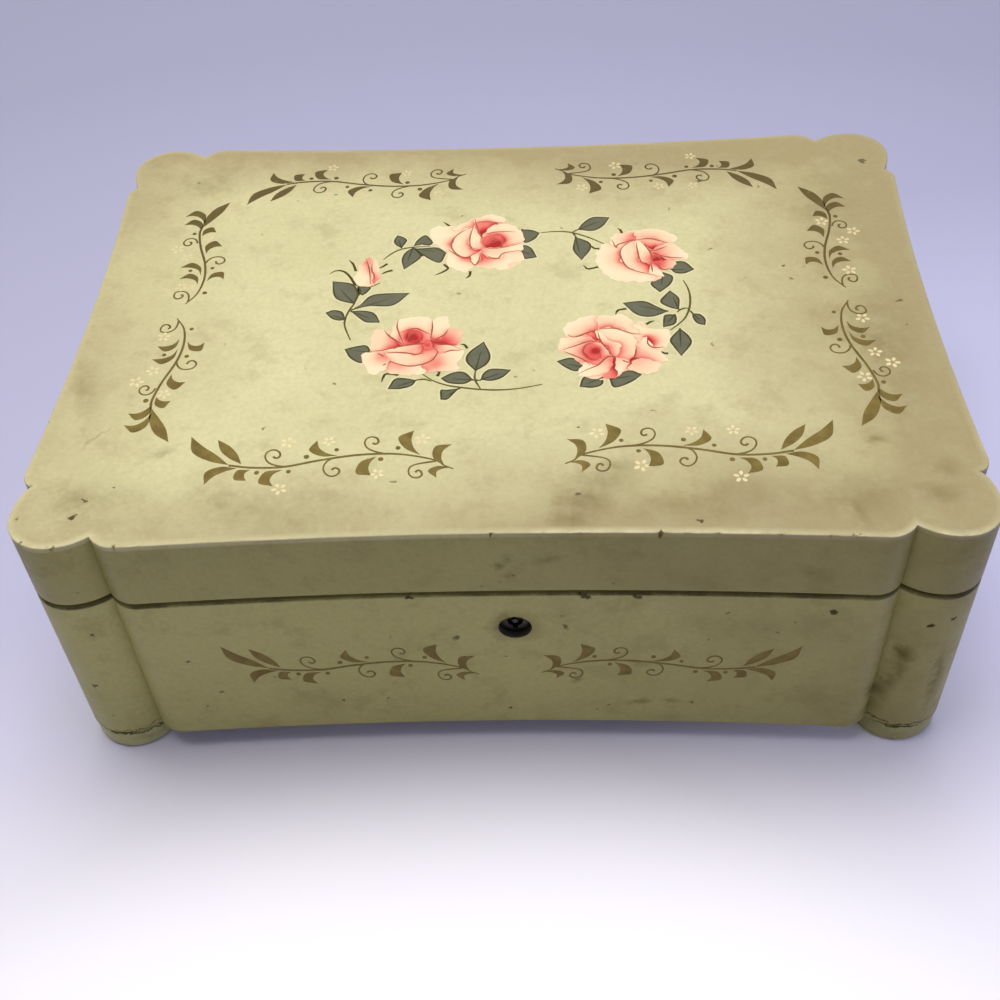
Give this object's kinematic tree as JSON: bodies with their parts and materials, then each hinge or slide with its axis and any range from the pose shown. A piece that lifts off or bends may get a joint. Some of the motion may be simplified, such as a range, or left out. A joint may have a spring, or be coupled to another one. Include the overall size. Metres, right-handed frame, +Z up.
{
  "type": "musical jewelry box",
  "caption": "Rectangular keepsake box with hollowed sides, round corner posts, disc feet, a hinged lid, ring rolls, a mirror and a wind-up musical movement.",
  "frame": {"origin": "centre of the footprint, hinge knuckles included, on the floor under the feet", "axes": "+X to the viewer's right along the front, +Y to the rear (hinges), +Z up"},
  "size_m": [0.28, 0.2046, 0.1007],
  "materials": {
    "lacquered_wood": "aged pale green-cream lacquer with painted flowers",
    "plain_wood": "bare fibreboard, unfinished",
    "velvet": "flocked wine-red velvet over card",
    "satin": "gathered satin, semi-sheen",
    "mirror_glass": "silvered glass",
    "clear_pane": "clear sheet",
    "brass": "polished brass, light tarnish",
    "dark_steel": "blued steel, worn",
    "bright_steel": "ground steel",
    "cast_zinc": "die-cast, matt",
    "fan_plastic": "moulded, cream"
  },
  "bodies": {
    "case": {"base_board": "plain_wood", "case_lining": "velvet", "comb": "bright_steel", "comb_riser": "cast_zinc", "comb_screw_1": "dark_steel", "comb_screw_2": "dark_steel", "corner_post_front_left": "lacquered_wood", "corner_post_front_right": "lacquered_wood", "corner_post_rear_left": "lacquered_wood", "corner_post_rear_right": "lacquered_wood", "cylinder_bearing": "cast_zinc", "foot_front_left": "lacquered_wood", "foot_front_right": "lacquered_wood", "foot_rear_left": "lacquered_wood", "foot_rear_right": "lacquered_wood", "front_panel": "lacquered_wood", "governor_frame": "cast_zinc", "hinge_left_case_leaf": "brass", "hinge_left_pin": "brass", "hinge_right_case_leaf": "brass", "hinge_right_pin": "brass", "left_panel": "lacquered_wood", "lock_case": "dark_steel", "movement_bedplate": "cast_zinc", "movement_pane": "clear_pane", "pane_ledge": "velvet", "partition_long": "velvet", "partition_movement": "velvet", "partition_rings": "velvet", "rear_panel": "lacquered_wood", "right_panel": "lacquered_wood", "ring_roll_pad": "velvet", "ring_roll_table": "velvet", "stop_pin_sleeve": "brass"},
    "lid": {"hinge_left_lid_leaf": "brass", "hinge_right_lid_leaf": "brass", "lid_front_rail": "lacquered_wood", "lid_left_rail": "lacquered_wood", "lid_rear_rail": "lacquered_wood", "lid_right_rail": "lacquered_wood", "lid_satin_pad": "satin", "lid_top_board": "lacquered_wood", "lock_strike": "brass", "mirror": "mirror_glass", "mirror_frame": "brass"},
    "lock_rotor": {"lock_rotor": "dark_steel"},
    "lock_bolt": {"lock_bolt": "bright_steel"},
    "winder": {"winding_arbor": "bright_steel", "winding_key": "brass"},
    "barrel": {"spring_barrel": "brass"},
    "cylinder": {"cylinder_arbor": "bright_steel", "cylinder_drum": "brass", "cylinder_gear": "brass"},
    "governor_wheel": {"governor_arbor": "bright_steel", "worm_wheel": "brass"},
    "fly": {"governor_worm": "bright_steel", "governor_fan": "fan_plastic"},
    "stop_pin": {"stop_pin": "bright_steel"}
  },
  "joints": [
    {"name": "lid_hinge", "type": "hinge", "parent": "case", "child": "lid", "pos_m": [0, 0.10073, 0.0744], "axis": [-1, 0, 0], "range_deg": [0, 100]},
    {"name": "lock_turn", "type": "hinge", "parent": "case", "child": "lock_rotor", "pos_m": [0.0035, -0.09643, 0.0582], "axis": [0, -1, 0], "range_deg": [0, 90]},
    {"name": "lock_bolt_slide", "type": "slide", "parent": "case", "child": "lock_bolt", "axis": [1, 0, 0], "range_m": [0, 0.005]},
    {"name": "winding_key_turn", "type": "hinge", "parent": "case", "child": "winder", "pos_m": [-0.102, 0.05107, 0.0172], "axis": [0, 0, -1], "continuous": true},
    {"name": "barrel_spin", "type": "hinge", "parent": "case", "child": "barrel", "pos_m": [-0.102, 0.05107, 0.0172], "axis": [0, 0, 1], "continuous": true},
    {"name": "cylinder_spin", "type": "hinge", "parent": "case", "child": "cylinder", "pos_m": [-0.078, 0.05107, 0.0312], "axis": [1, 0, 0], "continuous": true},
    {"name": "governor_wheel_spin", "type": "hinge", "parent": "case", "child": "governor_wheel", "pos_m": [-0.06405, 0.05907, 0.0252], "axis": [1, 0, 0], "continuous": true},
    {"name": "fly_spin", "type": "hinge", "parent": "case", "child": "fly", "pos_m": [-0.06405, 0.06437, 0.0252], "axis": [0, 0, 1], "continuous": true},
    {"name": "stop_pin_travel", "type": "slide", "parent": "case", "child": "stop_pin", "axis": [0, 0, 1], "range_m": [0, 0.003]}
  ],
  "couplings": [
    {"joint": "lock_bolt_slide", "follows": "lock_turn", "m_per_rad": 0.00318},
    {"joint": "cylinder_spin", "follows": "barrel_spin", "ratio": 3.3333},
    {"joint": "governor_wheel_spin", "follows": "barrel_spin", "ratio": -10},
    {"joint": "fly_spin", "follows": "barrel_spin", "ratio": 160},
    {"joint": "stop_pin_travel", "follows": "lid_hinge", "m_per_rad": 0.0017}
  ]
}
